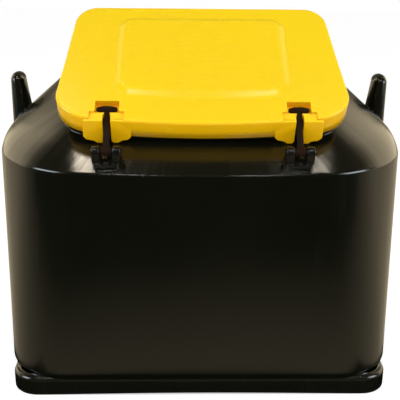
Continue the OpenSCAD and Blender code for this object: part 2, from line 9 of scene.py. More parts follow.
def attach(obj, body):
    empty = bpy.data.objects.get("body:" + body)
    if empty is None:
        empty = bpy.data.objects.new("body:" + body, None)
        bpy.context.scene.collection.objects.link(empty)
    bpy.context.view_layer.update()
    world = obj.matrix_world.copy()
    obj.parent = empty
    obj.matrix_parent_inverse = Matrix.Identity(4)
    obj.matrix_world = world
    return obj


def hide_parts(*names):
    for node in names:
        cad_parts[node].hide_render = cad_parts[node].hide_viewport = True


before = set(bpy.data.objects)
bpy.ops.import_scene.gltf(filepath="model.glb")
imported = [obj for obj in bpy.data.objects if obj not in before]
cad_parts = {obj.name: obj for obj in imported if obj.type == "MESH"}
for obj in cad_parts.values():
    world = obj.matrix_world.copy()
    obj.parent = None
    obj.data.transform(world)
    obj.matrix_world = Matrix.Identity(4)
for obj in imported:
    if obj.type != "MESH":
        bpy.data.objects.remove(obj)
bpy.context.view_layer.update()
scene = bpy.context.scene
scene.view_settings.view_transform = "Standard"
sides = {"left": -1, "right": 1}
print("frame loaded")


def lerp(a, b, share):
    return a + (b - a) * share


def clamp(value):
    return min(max(value, 0.0), 1.0)


def steps(first, last, count):
    return [lerp(first, last, i / count) for i in range(count + 1)]


# from 0 to 1, slow at both ends
def eased(share):
    return share * share * (3 - 2 * share)


# a rounded edge in shares of its radius: in from the wall, and down from the top
def edgeShares(count):
    return [(1 - math.cos(t), 1 - math.sin(t)) for t in steps(0, math.pi / 2, count)]


# points on a circle at the given angles, in degrees
def arc(x, y, radius, angles):
    turns = [math.radians(angle) for angle in angles]
    return [(x + radius * math.cos(t), y + radius * math.sin(t)) for t in turns]


def circle(x, y, radius, count):
    return arc(x, y, radius, steps(0, 360, count)[:-1])


def newObject(name, points, faces):
    mesh = bpy.data.meshes.new(name)
    mesh.from_pydata([tuple(p) for p in points], [], faces)
    mesh.update()
    made = bpy.data.objects.new(name, mesh)
    scene.collection.objects.link(made)
    return made


# merges doubles and turns every face outwards
def fixNormals(made):
    mesh = bmesh.new()
    mesh.from_mesh(made.data)
    bmesh.ops.remove_doubles(mesh, verts=mesh.verts, dist=1e-7)
    bmesh.ops.recalc_face_normals(mesh, faces=mesh.faces)
    mesh.to_mesh(made.data)
    mesh.free()
    return made


# a closed skin through equally long rings of points, with a fan at each end
def ringLoft(name, rings):
    count = len(rings[0])
    points = [p for ring in rings for p in ring]
    faces = []
    for k in range(len(rings) - 1):
        for i in range(count):
            n = (i + 1) % count
            faces.append((k * count + i, k * count + n, (k + 1) * count + n, (k + 1) * count + i))
    for k in (0, len(rings) - 1):
        points.append(sum((Vector(p) for p in rings[k]), Vector()) / count)
        hub = len(points) - 1
        faces += [(hub, k * count + i, k * count + (i + 1) % count) for i in range(count)]
    return fixNormals(newObject(name, points, faces))


# an outline in two of the axes, run along the third; axes says where each coordinate goes
def prism(name, outline, low, high, axes=(0, 1, 2)):
    order = [axes.index(axis) for axis in range(3)]
    points = [[(*p, depth)[k] for k in order] for depth in (low, high) for p in outline]
    count = len(outline)
    faces = [tuple(range(count)), tuple(range(count, 2 * count))]
    faces += [(i, (i + 1) % count, count + (i + 1) % count, count + i) for i in range(count)]
    return fixNormals(newObject(name, points, faces))


# a box: its middle and width along X, then its reach along Y and along Z
def boxAt(name, x, width, along, up):
    left, right = x - width / 2, x + width / 2
    return prism(name, [(left, along[0]), (right, along[0]), (right, along[1]), (left, along[1])], *up)


# a turned piece along X, through pairs of place and radius
def turned(name, profile, centre=(0, 0, 0), count=64):
    rings = [[(x, *p) for p in circle(0, 0, r, count)] for x, r in profile]
    return place(ringLoft(name, rings), Matrix.Translation(centre))


def rod(name, radius, length, centre=(0, 0, 0), count=64):
    return turned(name, [(-length / 2, radius), (length / 2, radius)], centre, count)


def place(made, matrix):
    made.data.transform(matrix)
    made.data.update()
    return made


def applyModifiers(made):
    bpy.context.view_layer.update()
    graph = bpy.context.evaluated_depsgraph_get()
    fresh = bpy.data.meshes.new_from_object(made.evaluated_get(graph), depsgraph=graph)
    old = made.data
    made.modifiers.clear()
    made.data = fresh
    bpy.data.meshes.remove(old)
    fresh.name = made.name
    return made


def modified(made, kind, **settings):
    modifier = made.modifiers.new(kind.lower(), kind)
    for key, value in settings.items():
        setattr(modifier, key, value)
    return applyModifiers(made)


# one boolean, applied at once; the tool is used up. Where a tool comes out through a face, it runs past it
def cut(target, tool, operation="DIFFERENCE"):
    modified(target, "BOOLEAN", operation=operation, solver="MANIFOLD", object=tool)
    bpy.data.objects.remove(tool)
    return target


def copyOf(made):
    twin = made.copy()
    twin.data = made.data.copy()
    scene.collection.objects.link(twin)
    return twin


def smooth(made, angle):
    made.data.shade_smooth()
    made.data.set_sharp_from_angle(angle=math.radians(angle))
    return made


def dress(made, slot, node, body="bin"):
    made.data.materials.clear()
    made.data.materials.append(materials[slot])
    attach(made, body)
    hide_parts(node)
    print(made.name, len(made.data.polygons), "faces")


# how near a face's corners lie to a skin, and how alike the two directions are, where it takes over
skinFit = {"search": 0.004, "near": 0.0006, "alike": 0.96}


# gives the faces that lie on a smooth source skin that skin's own normals; the others stay flat
def takeNormals(made, sources):
    mesh = made.data
    mesh.shade_smooth()
    skins = []
    for source in sources:
        source.data.calc_loop_triangles()
        spots = [vertex.co.copy() for vertex in source.data.vertices]
        normals = [vertex.normal.copy() for vertex in source.data.vertices]
        triangles = [tuple(t.vertices) for t in source.data.loop_triangles]
        skins.append((BVHTree.FromPolygons(spots, triangles), spots, normals, triangles))
    wanted = [None] * len(mesh.loops)
    for face in mesh.polygons:
        chosen = None
        for skin in skins:
            hit, normal = skin[0].find_nearest(face.center, skinFit["search"])[:2]
            if hit is None or abs(normal.dot(face.normal)) < skinFit["alike"]:
                continue
            gaps = [skin[0].find_nearest(mesh.vertices[v].co, skinFit["search"])[3] for v in face.vertices]
            if all(gap is not None and gap < skinFit["near"] for gap in gaps):
                chosen, turn = skin, math.copysign(1, normal.dot(face.normal))
                break
        for loopIndex in face.loop_indices:
            if chosen is None:
                wanted[loopIndex] = tuple(face.normal)
                continue
            tree, spots, normals, triangles = chosen
            hit, _, index, _ = tree.find_nearest(mesh.vertices[mesh.loops[loopIndex].vertex_index].co)
            corners = triangles[index]
            blended = barycentric_transform(hit, *(spots[c] for c in corners), *(normals[c] for c in corners))
            wanted[loopIndex] = tuple((blended * turn).normalized())
    mesh.normals_split_custom_set(wanted)
    for source in sources:
        bpy.data.objects.remove(source)
    return made


# the camera, at the photograph's angle
cameraSet = {"place": (-0.058, -2.320, 1.187), "pitch": 18.10, "turn": -1.54, "roll": 0.63,
             "lens": 69.18, "sensor": 36}


def makeCamera():
    data = bpy.data.cameras.new("camera")
    data.lens = cameraSet["lens"]
    data.sensor_width = cameraSet["sensor"]
    camera = bpy.data.objects.new("camera", data)
    camera.location = cameraSet["place"]
    angles = ((cameraSet["turn"], "Z"), (90 - cameraSet["pitch"], "X"), (cameraSet["roll"], "Z"))
    turn, tilt, roll = (Matrix.Rotation(math.radians(angle), 4, axis) for angle, axis in angles)
    camera.rotation_euler = (turn @ tilt @ roll).to_euler()
    scene.collection.objects.link(camera)
    scene.camera = camera


makeCamera()


# an operator and its reflected form, each of them a Math node
def bothForms(operation):
    return (lambda value, other: value.owner.maths(operation, value, other),
            lambda value, other: value.owner.maths(operation, other, value))


# a socket that adds its own Math nodes when it is used in an expression
class Value:
    def __init__(self, owner, socket):
        self.owner = owner
        self.socket = socket

    __add__, __radd__ = bothForms("ADD")
    __sub__, __rsub__ = bothForms("SUBTRACT")
    __mul__, __rmul__ = bothForms("MULTIPLY")
    __truediv__, __rtruediv__ = bothForms("DIVIDE")
    __pow__, __rpow__ = bothForms("POWER")


# a node tree of any kind, built by one method
class Nodes:
    def __init__(self, tree):
        self.tree = tree
        tree.nodes.clear()

    def node(self, kind, settings=None, inputs=None, output=0):
        made = self.tree.nodes.new(kind)
        for key, value in (settings or {}).items():
            if key == "stops":
                ramp = made.color_ramp
                while len(ramp.elements) < len(value):
                    ramp.elements.new(0.5)
                for element, (position, level) in zip(ramp.elements, value):
                    element.position = position
                    element.color = (level, level, level, 1)
            else:
                setattr(made, key, value)
        for key, value in (inputs or {}).items():
            socket = made.inputs[key]
            if isinstance(value, (Value, list)):
                for one in value if isinstance(value, list) else [value]:
                    self.tree.links.new(one.socket, socket)
            elif socket.type == "RGBA" and len(value) == 3:
                socket.default_value = (*value, 1)
            else:
                socket.default_value = value
        return Value(self, made.outputs[output]) if len(made.outputs) else made

    def maths(self, operation, *values):
        return self.node("ShaderNodeMath", {"operation": operation}, dict(enumerate(values)))

    def vector(self, x, y, z):
        return self.node("ShaderNodeCombineXYZ", None, {0: x, 1: y, 2: z})

    def part(self, vector, axis):
        return self.node("ShaderNodeSeparateXYZ", None, {0: vector}, axis)

    # bottom below the first value, 1 above the second, and smooth between them
    def ease(self, value, low, high, bottom=0.0, way="SMOOTHSTEP"):
        return self.node("ShaderNodeMapRange", {"interpolation_type": way},
                         {"Value": value, "From Min": low, "From Max": high, "To Min": bottom})

    def ray(self, kind):
        return self.node("ShaderNodeLightPath", output="Is " + kind + " Ray")

    def light(self, kind, colour, strength):
        return self.node(kind, None, {"Color": colour, "Strength": strength})

    def either(self, share, first, second):
        return self.node("ShaderNodeMixShader", None, {0: share, 1: first, 2: second})


class Shader(Nodes):
    def __init__(self, name):
        self.material = bpy.data.materials.new(name)
        self.material.use_nodes = True
        super().__init__(self.material.node_tree)

    def spot(self, scale=(1, 1, 1)):
        here = self.node("ShaderNodeTexCoord", output="Object")
        return self.node("ShaderNodeMapping", None, {"Vector": here, "Scale": scale})

    def axis(self, name):
        return self.part(self.node("ShaderNodeTexCoord", output="Object"), name)

    def noise(self, spot, scale, detail=2.0, roughness=0.5):
        return self.node("ShaderNodeTexNoise", None,
                         {"Vector": spot, "Scale": scale, "Detail": detail, "Roughness": roughness})

    def mix(self, share, first, second, blend="MIX"):
        return self.node("ShaderNodeMix", {"data_type": "RGBA", "blend_type": blend},
                         {0: share, 6: first, 7: second}, 2)

    def bumped(self, height, strength, distance, edge):
        rounded = self.node("ShaderNodeBevel", {"samples": 6}, {"Radius": edge})
        return self.node("ShaderNodeBump", None,
                         {"Height": height, "Strength": strength, "Distance": distance, "Normal": rounded})

    def finish(self, **inputs):
        values = {key.replace("_", " "): value for key, value in inputs.items()}
        surface = self.node("ShaderNodeBsdfPrincipled", None, values)
        self.node("ShaderNodeOutputMaterial", None, {"Surface": surface})
        return self.material


bodyFinish = {
    "black": (0.0028, 0.0030, 0.0014), "haze": (0.0062, 0.0066, 0.0032), "dust": (0.009, 0.009, 0.006),
    "gloss": 0.11, "cloudRough": 0.06, "streakRough": 0.30, "dustRough": 0.06, "specular": 0.6,
    "cloudScale": 3.2, "peelScale": 260, "wideScale": 11, "narrowScale": 45, "stretch": 0.10,
    "dustHeight": (0.02, 0.12), "dustWaver": 0.05, "dustShare": 0.5,
    "peel": 0.12, "wide": 3.5, "narrow": 0.4, "bump": 0.5, "depth": 0.0005, "edge": 0.005,
}


def makeBodyPlastic():
    form = bodyFinish
    shader = Shader("bodyPlastic")
    spot = shader.spot()
    clouds = shader.noise(spot, form["cloudScale"], 3)
    peel = shader.noise(spot, form["peelScale"])
    # streaks that run down the walls and the hips, as the plastic flowed and as hands rub it
    flat = shader.node("ShaderNodeVectorMath", {"operation": "NORMALIZE"}, {0: shader.spot((1, 1, 0))})
    height = shader.spot((0, 0, form["stretch"]))
    fan = shader.node("ShaderNodeVectorMath", {"operation": "ADD"}, {0: height, 1: flat})
    wide = shader.noise(fan, form["wideScale"], 2, 0.6)
    narrow = shader.noise(fan, form["narrowScale"], 3, 0.6)
    foot = 1 - shader.ease(shader.axis("Z") + clouds * form["dustWaver"], *form["dustHeight"])
    colour = shader.mix(clouds, form["black"], form["haze"])
    rough = clouds * form["cloudRough"] + form["gloss"] + (narrow ** 3.0) * form["streakRough"]
    relief = peel * form["peel"] + wide * form["wide"] + narrow * form["narrow"]
    return shader.finish(
        Base_Color=shader.mix(foot * narrow * form["dustShare"], colour, form["dust"]),
        Roughness=rough + foot * form["dustRough"],
        Specular_IOR_Level=form["specular"],
        Normal=shader.bumped(relief, form["bump"], form["depth"], form["edge"]),
    )


lidFinish = {
    # of these, the third colour is a painted shade for the hollows, and the first colour on the next line is
    # a painted shade multiplied into the faces that stand up
    "yellow": (1.0, 0.690, 0.004), "deep": (0.97, 0.645, 0.003), "hollowShadeTint": (1.0, 0.47, 0.003),
    "side": (1.0, 0.80, 0.6), "gloss": 0.22, "cloudRough": 0.08, "scuffRough": 0.10, "specular": 0.35,
    "cloudScale": 4, "peelScale": 320, "rippleScale": 9, "scuffScale": 60,
    # where the painted shade falls: faces that stand up, and hollows within the given reach
    "upright": (0.05, 0.65), "hollowShadeReach": 0.030, "hollowShade": (0.25, 0.92),
    "peel": 0.12, "ripple": 1.2, "bump": 0.3, "depth": 0.0005, "edge": 0.003,
}


def makeLidPlastic():
    form = lidFinish
    shader = Shader("lidPlastic")
    spot = shader.spot()
    clouds = shader.noise(spot, form["cloudScale"], 3)
    peel = shader.noise(spot, form["peelScale"])
    ripple = shader.noise(spot, form["rippleScale"], 1)
    scuffs = shader.noise(shader.spot((0.3, 1, 1)), form["scuffScale"], 4, 0.6)
    # painted shade: deeper and warmer on the faces that stand up, which get less of the light from above, and
    # a painted shade in the hollows, where yellow light meets yellow plastic again
    facing = shader.part(shader.node("ShaderNodeNewGeometry", output="Normal"), "Z")
    upright = 1 - shader.ease(facing, *form["upright"])
    hollowShade = shader.node("ShaderNodeAmbientOcclusion", {"samples": 8, "only_local": True},
                         {"Distance": form["hollowShadeReach"]}, "AO")
    colour = shader.mix(clouds, form["yellow"], form["deep"])
    shadedColour = shader.mix(upright, colour, form["side"], "MULTIPLY")
    relief = peel * form["peel"] + ripple * form["ripple"]
    return shader.finish(
        Base_Color=shader.mix(shader.ease(hollowShade, *form["hollowShade"]), form["hollowShadeTint"], shadedColour),
        Roughness=clouds * form["cloudRough"] + form["gloss"] + (scuffs ** 4.0) * form["scuffRough"],
        Specular_IOR_Level=form["specular"],
        Normal=shader.bumped(relief, form["bump"], form["depth"], form["edge"]),
    )


plainFinishes = {
    "latch_rubber": {
        "name": "latchRubber", "dark": (0.0125, 0.0050, 0.0022), "pale": (0.023, 0.0100, 0.0048),
        "gloss": 0.38, "spread": 0.2, "specular": 0.07,
        "cloudScale": 40, "grainScale": 900, "grain": 0.25, "edge": 0.0012},
    "bracket_black": {
        "name": "bracketBlack", "dark": (0.0035, 0.0034, 0.0022), "pale": (0.010, 0.009, 0.006),
        "gloss": 0.14, "spread": 0.16, "specular": 0.45,
        "cloudScale": 55, "grainScale": 1400, "grain": 0.2, "edge": 0.0015},
    "fastener_black": {
        "name": "fastenerBlack", "dark": (0.006, 0.006, 0.005), "pale": (0.016, 0.015, 0.013),
        "gloss": 0.32, "spread": 0.2, "specular": 0.25,
        "cloudScale": 90, "grainScale": 1600, "grain": 0.2, "edge": 0.0004},
    "steel": {
        "name": "zincSteel", "dark": (0.46, 0.46, 0.47), "pale": (0.62, 0.61, 0.58),
        "gloss": 0.26, "spread": 0.2, "metal": 1.0, "brushed": (12, 1, 1),
        "cloudScale": 60, "grainScale": 320, "grain": 0.15, "edge": 0.0005},
    "insert_brass": {
        "name": "insertBrass", "dark": (0.62, 0.42, 0.14), "pale": (0.72, 0.52, 0.22),
        "gloss": 0.28, "spread": 0.2, "metal": 1.0,
        "cloudScale": 90, "grainScale": 700, "grain": 0.3, "edge": 0.0005},
}


grainDepth = 0.0003


# two colours in clouds, a roughness that wanders, and a grain
def makeFinish(form):
    shader = Shader(form["name"])
    clouds = shader.noise(shader.spot(), form["cloudScale"], 3)
    fine = shader.noise(shader.spot(form.get("brushed", (1, 1, 1))), form["grainScale"], 3)
    return shader.finish(
        Base_Color=shader.mix(clouds, form["dark"], form["pale"]),
        Metallic=form.get("metal", 0.0),
        Specular_IOR_Level=form.get("specular", 0.5),
        Roughness=clouds * form["spread"] + form["gloss"],
        Normal=shader.bumped(fine, form["grain"], grainDepth, form["edge"]),
    )


materials = {"body_black": makeBodyPlastic(), "lid_yellow": makeLidPlastic()}
materials.update({slot: makeFinish(form) for slot, form in plainFinishes.items()})
print("materials made")


# Geometry Nodes: rings and bolts set out in a row, and the horn
rowSockets = {"Count": "Int", "Start": "Vector", "Step": "Vector", "Turn": "Rotation"}


def newTree(name, sizes, others):
    tree = bpy.data.node_groups.new(name, "GeometryNodeTree")
    tree.interface.new_socket("Geometry", in_out="OUTPUT", socket_type="NodeSocketGeometry")
    sockets = {**others, **dict.fromkeys(sizes, "Float"), "Material": "Material"}
    for title, kind in sockets.items():
        tree.interface.new_socket(title, in_out="INPUT", socket_type="NodeSocket" + kind)
    nodes = Nodes(tree)
    entry = tree.nodes.new("NodeGroupInput")
    return nodes, {title: Value(nodes, entry.outputs[title]) for title in sockets}


def endTree(nodes, given, geometry):
    whole = nodes.node("GeometryNodeRealizeInstances", None, {"Geometry": geometry})
    painted = nodes.node("GeometryNodeSetMaterial", None, {"Geometry": whole, "Material": given["Material"]})
    nodes.node("NodeGroupOutput", None, {"Geometry": painted})
    return nodes.tree


# ends a tree with the piece at each place of a row
def endRow(nodes, given, piece):
    row = nodes.node("GeometryNodeMeshLine", None,
                     {"Count": given["Count"], "Start Location": given["Start"], "Offset": given["Step"]})
    filled = nodes.node("GeometryNodeInstanceOnPoints", None,
                        {"Points": row, "Instance": piece, "Rotation": given["Turn"]})
    return endTree(nodes, given, filled)


def makeRingTree():
    nodes, given = newTree("ringRow", ("Outer", "Inner", "Thickness", "Rounding"), rowSockets)
    middle = (given["Outer"] + given["Inner"]) * 0.5
    path = nodes.node("GeometryNodeCurvePrimitiveCircle", None, {"Resolution": 64, "Radius": middle})
    flat = nodes.node("GeometryNodeCurvePrimitiveQuadrilateral", None,
                      {"Width": given["Outer"] - given["Inner"], "Height": given["Thickness"]})
    profile = nodes.node("GeometryNodeFilletCurve", {"mode": "POLY"},
                         {"Curve": flat, "Radius": given["Rounding"], "Count": 3})
    ring = nodes.node("GeometryNodeCurveToMesh", None, {"Curve": path, "Profile Curve": profile})
    return endRow(nodes, given, ring)


# shares of a bolt's head height, head radius, length and shank radius
boltShape = {"chamfer": 0.18, "crown": 0.82, "tip": 0.06, "tipRadius": 0.8}


def makeBoltTree():
    nodes, given = newTree("boltRow", ("Head Radius", "Head Height", "Shank Radius", "Length"), rowSockets)

    def cone(corners, top, bottom, depth, height):
        piece = nodes.node("GeometryNodeMeshCone", None,
                           {"Vertices": corners, "Radius Top": top, "Radius Bottom": bottom, "Depth": depth})
        return nodes.node("GeometryNodeTransform", None,
                          {"Geometry": piece, "Translation": nodes.vector(0.0, 0.0, height)})

    head, shank, length = given["Head Radius"], given["Shank Radius"], given["Length"]
    chamfer = given["Head Height"] * boltShape["chamfer"]
    flank = given["Head Height"] - chamfer
    straight = length * (1 - boltShape["tip"])
    bolt = nodes.node("GeometryNodeJoinGeometry", None, {0: [
        cone(6, head, head, flank, 0.0),
        cone(6, head * boltShape["crown"], head, chamfer, flank),
        cone(32, shank, shank, straight, 0.0 - straight),
        cone(32, shank, shank * boltShape["tipRadius"], length * boltShape["tip"], 0.0 - length),
    ]})
    return endRow(nodes, given, bolt)


hornShape = {"sides": 48, "neckSteps": 12, "domeSteps": 10, "domeTurn": 86, "domeDepth": 0.85,
             "flarePower": 0.8, "squareness": 0.8}


# the horn: a column of ovals that flares at its root and ends in a dome
def makeHornTree():
    shape = hornShape
    sizes = ("Width", "Depth", "Flare", "Root Height", "Neck Height", "Outer Reach", "Squareness")
    nodes, given = newTree("horn", sizes, {})
    levels = shape["neckSteps"] + shape["domeSteps"]
    neck = shape["neckSteps"] / levels
    column = nodes.node("GeometryNodeMeshCylinder", {"fill_type": "TRIANGLE_FAN"},
                        {"Vertices": shape["sides"], "Side Segments": levels, "Radius": 1.0, "Depth": 1.0})
    spot = nodes.node("GeometryNodeInputPosition")
    x, y, z = (nodes.part(spot, axis) for axis in "XYZ")
    rise = nodes.maths("MINIMUM", (z + 0.5) / neck, 1.0)
    bend = math.radians(shape["domeTurn"]) / (1 - neck)
    turn = nodes.maths("MAXIMUM", z + (0.5 - neck), 0.0) * bend
    closing = nodes.maths("COSINE", turn)
    flare = (1 - rise ** shape["flarePower"]) * given["Flare"]
    width = flare + given["Width"]
    depth = (flare + given["Depth"]) * (1 - (1 - closing) * shape["domeDepth"])

    def squared(value):
        return nodes.maths("SIGN", value) * nodes.maths("ABSOLUTE", value) ** given["Squareness"]

    across = given["Outer Reach"] - width * 0.5 + width * closing * 0.5 * squared(x)
    foot = given["Root Height"]
    height = foot + (given["Neck Height"] - foot) * rise + given["Width"] * 0.5 * nodes.maths("SINE", turn)
    moved = nodes.node("GeometryNodeSetPosition", None, {
        "Geometry": column, "Position": nodes.vector(across, depth * 0.5 * squared(y), height)})
    return endTree(nodes, given, moved)


# a tree's result as a plain mesh, with each input set by its socket's identifier
def grown(name, tree, slot, values, matrix=Matrix.Identity(4)):
    made = newObject(name, [], [])
    modifier = made.modifiers.new("grow", "NODES")
    modifier.node_group = tree
    inputs = {"Material": materials[slot], **values}
    for socket in tree.interface.items_tree:
        if socket.in_out == "INPUT" and socket.name in inputs:
            modifier[socket.identifier] = inputs[socket.name]
    return place(smooth(fixNormals(applyModifiers(made)), 30), matrix)


ringTree, boltTree, hornTree = makeRingTree(), makeBoltTree(), makeHornTree()

# the body's form, in metres and degrees
bodyForm = {
    "halfWidth": 0.549, "halfDepth": 0.482, "shoulder": 0.648, "wall": 0.006,
    "sideDraft": 0.012, "frontDraft": 0.028, "frontBow": 0.064, "sideBow": 0.016, "footSideBow": 0.009,
    "bowTrim": 0.001,  # keeps this finer mesh inside the solids' box
    "cornerRadius": 0.228, "footCornerRadius": 0.160, "footTurn": 0.015, "footLean": 0.4,
    "plinthHeight": 0.058, "plinthInset": 0.018, "plinthCornerRadius": 0.075, "plinthArch": 0.007,
    "plinthEdge": 0.006, "plinthTop": 0.014, "plinthRoll": 0.86,
    "roofSlope": 34.5, "sideShoulder": 0.688, "sideSlope": 42.6, "sideRoll": 0.085, "shoulderRadius": 0.010,
    "ridgeHalfDepth": 0.036, "roofCorner": 0.6,
    "hornTop": 0.832, "hornWidth": 0.042, "hornDepth": 0.076, "hornFlare": 0.038, "hornRoot": 0.040,
    "cornerSteps": 22, "flankSteps": 20,
}
flankDepth = bodyForm["halfDepth"] - bodyForm["frontBow"]
roofTan = math.tan(math.radians(bodyForm["roofSlope"]))
flankSlope = math.degrees(math.atan(roofTan * bodyForm["halfDepth"] / flankDepth))
ridgeHeight = bodyForm["shoulder"] + (bodyForm["halfDepth"] - bodyForm["ridgeHalfDepth"]) * roofTan


# half a size at height z: a drafted wall, a fillet, then a slope
def roofed(z, cornerZ, foot, top, slope, radius):
    low = bodyForm["plinthHeight"]
    tangent = radius * math.tan(math.radians((90 - slope) / 2))
    startZ = cornerZ - tangent
    endZ = cornerZ + tangent * math.sin(math.radians(slope))
    wallHere, wallStart = (lerp(foot, top, (height - low) / (cornerZ - low)) for height in (z, startZ))
    if z <= startZ:
        return wallHere
    if z < endZ:
        return min(wallHere, wallStart - radius + math.sqrt(max(0.0, radius ** 2 - (z - startZ) ** 2)))
    return top - (z - cornerZ) / math.tan(math.radians(slope))


def halfWidthAt(z):
    form = bodyForm
    foot = form["halfWidth"] - form["sideDraft"]
    return roofed(z, form["sideShoulder"], foot, form["halfWidth"], form["sideSlope"], form["sideRoll"])


def flankDepthAt(z):
    foot = bodyForm["halfDepth"] - bodyForm["frontDraft"]
    return roofed(z, bodyForm["shoulder"], foot, flankDepth, flankSlope, bodyForm["shoulderRadius"])


# a rectangle with a radius at each corner
def roundedRing(a, b, radii, cornerSteps, flankSteps):
    corners = []
    for quarter, (sx, sy) in enumerate(((1, 1), (-1, 1), (-1, -1), (1, -1))):
        radius, angle = radii[quarter], 90 * quarter
        turns = steps(angle, angle + 90, cornerSteps)
        corners.append(arc(sx * (a - radius), sy * (b - radius), radius, turns))
    ring = []
    shares = steps(0, 1, flankSteps)[1:-1]
    for corner, after in zip(corners, corners[1:] + corners[:1]):
        (x0, y0), (x1, y1) = corner[-1], after[0]
        ring += corner + [(lerp(x0, x1, share), lerp(y0, y1, share)) for share in shares]
    return ring


def bodyOutline(a, b, radius):
    return roundedRing(a, b, [radius] * 4, bodyForm["cornerSteps"], bodyForm["flankSteps"])


def bodyRing(z, inset, lift):
    form = bodyForm
    rise = clamp((z - form["plinthHeight"]) / (form["shoulder"] - form["plinthHeight"]))
    roof = max(0.0, flankDepthAt(z) / flankDepth) if z > form["shoulder"] else 1.0
    a = halfWidthAt(z) - inset
    b = flankDepthAt(z) - inset
    corner = lerp(form["footCornerRadius"], form["cornerRadius"], rise) * lerp(form["roofCorner"], 1, roof)
    radius = min(corner - inset, a * 0.8, b * 0.8)
    bowX = lerp(form["footSideBow"], form["sideBow"], rise) * roof
    bowY = (form["frontBow"] - form["bowTrim"]) * rise * roof
    return [(x * (1 + bowX / a * (1 - (y / b) ** 2)), y * (1 + bowY / b * (1 - (x / a) ** 2)), z + lift)
            for x, y in bodyOutline(a, b, radius)]


def plinthRing(inset, z):
    form = bodyForm
    a = form["halfWidth"] - form["sideDraft"] + form["footSideBow"] - form["plinthInset"] - inset
    b = form["halfDepth"] - form["frontDraft"] - form["plinthInset"] / 2 - inset
    return [(x, y, z) for x, y in bodyOutline(a, b, form["plinthCornerRadius"] - inset)]


def bodyHeights(fine):
    form = bodyForm
    edge = form["shoulderRadius"] * math.tan(math.radians((90 - flankSlope) / 2))
    roll = form["sideRoll"] * math.tan(math.radians((90 - form["sideSlope"]) / 2))
    edgeEnd = form["shoulder"] + edge * math.sin(math.radians(flankSlope))
    rollEnd = form["sideShoulder"] + roll * math.sin(math.radians(form["sideSlope"]))
    marks = (form["plinthHeight"] + form["footTurn"], form["shoulder"] - edge, edgeEnd, rollEnd, ridgeHeight)
    spans = zip(marks, marks[1:], (8, 4, 8, 6))
    return [z for low, high, count in spans for z in steps(low, high, count * fine)[1:]]


# the outside with inset 0, or the cavity at one wall's distance
def bodyLoft(name, inset, fine):
    form = bodyForm
    edge, turn, high = form["plinthEdge"], form["footTurn"], form["plinthHeight"]
    low = form["plinthArch"] + inset if inset else 0.0
    roll = form["plinthTop"] * form["plinthRoll"]
    lip = high - form["plinthTop"] + roll
    rounded = edgeShares(4 * fine)
    rings = [plinthRing(inset + edge * down, low + edge * over) for over, down in edgeShares(3 * fine)]
    rings += [plinthRing(inset + roll * over, lip - roll * down - inset) for over, down in rounded]
    if inset:
        rings.append(plinthRing(inset + roll, lip + inset))
    lean = turn * form["footLean"]
    rings += [bodyRing(high + turn * over, inset + lean * down, inset) for over, down in rounded]
    rings += [bodyRing(z, inset, -inset) for z in bodyHeights(fine)]
    return ringLoft(name, rings)


# places on the front slope: u runs up it, w stands square to it
slopeMatrix = (Matrix.Translation((0, -bodyForm["halfDepth"], bodyForm["shoulder"]))
               @ Matrix.Rotation(math.radians(bodyForm["roofSlope"]), 4, "X"))

lidForm = {
    "frontU": 0.110, "gap": 0.018, "back": 0.024, "halfWidth": 0.388, "rearHalfWidth": 0.347, "skirt": 0.056,
    "frontBow": 0.034, "frontRadius": 0.092, "rearRadius": 0.062, "edgeRadius": 0.007, "wall": 0.005,
    "panelHalfWidth": 0.234, "panelFront": 0.084, "panelLength": 0.322, "panelHeight": 0.010,
    "panelSlope": 0.026, "panelBow": 0.014, "panelRadius": 0.044, "flatEdge": 0.003,
    "collarClearance": 0.008, "collarFoot": -0.190, "rimClearance": 0.0003, "pocketDepth": 0.018, "steps": 14,
}
lidRear = bodyForm["halfDepth"] / math.cos(math.radians(bodyForm["roofSlope"])) - lidForm["back"]
lidLength = lidRear - lidForm["frontU"]
lidTop = lidForm["gap"] + lidForm["skirt"]
rimHeight = lidTop - lidForm["pocketDepth"] - lidForm["wall"] - lidForm["rimClearance"]

# cheek: one cheek's outline from in front, from the latch's middle and the ledge
keeperForm = {
    "inset": 0.143, "width": 0.122, "slot": 0.020, "neckSlot": 0.014, "cheekOut": 0.002, "cheekLean": 0.010,
    "ledgeDrop": 0.005, "ledgeWidth": 0.088, "ledgeShare": 0.45, "pocketWidth": 0.061, "pocketFront": 0.010,
    "pocketBack": 0.066,
    "cheek": ((0.010, -0.064), (0.015, -0.071), (0.027, -0.071), (0.035, -0.064), (0.053, -0.060),
              (0.061, -0.051), (0.061, -0.004), (0.058, 0.0), (0.010, 0.0)),
}
latchX = lidForm["halfWidth"] - keeperForm["inset"]
hingeForm = {
    "x": 0.165, "u": lidRear + 0.022, "w": lidForm["gap"] + 0.012, "radius": 0.015, "knuckle": 0.060,
    "lug": 0.020, "lugWaist": (0.47, 1.75), "lugHeel": 0.024, "sideGap": 0.001, "bore": 0.00608, "rod": 0.006,
}
hingeSpot = slopeMatrix @ Vector((0, hingeForm["u"], hingeForm["w"]))
lugInner = hingeForm["knuckle"] / 2 + hingeForm["sideGap"]
bracketForm = {
    "width": 0.072, "edge": 0.004, "gap": 0.032, "length": 0.068, "base": 0.006, "drop": 0.002,
    "corner": 0.009, "plateBevel": 0.0012, "bolts": (0.035, 0.083), "hole": 0.0035,
    "ear": 0.014, "earFront": 0.008, "earRear": 0.006, "earSunk": 0.002, "earBevel": 0.0022,
    "insert": 0.016, "insertRadius": 0.007,
}
latchPin = {"u": 0.059, "w": 0.025, "radius": 0.004, "bore": 0.00408}


def lidRing(inset, w):
    form = lidForm
    a = form["halfWidth"] - inset
    b = lidLength / 2 - inset
    rear, front = form["rearRadius"] - inset, form["frontRadius"] - inset
    taper = form["halfWidth"] - form["rearHalfWidth"]
    ring = []
    for x, y in roundedRing(a, b, [rear, rear, front, front], form["steps"], form["steps"]):
        along = form["frontU"] + lidLength / 2 + y + form["frontBow"] * (x / a) ** 2 * clamp(-y / b)
        ring.append((x - x / a * taper * (y + b) / (2 * b), along, w))
    return ring


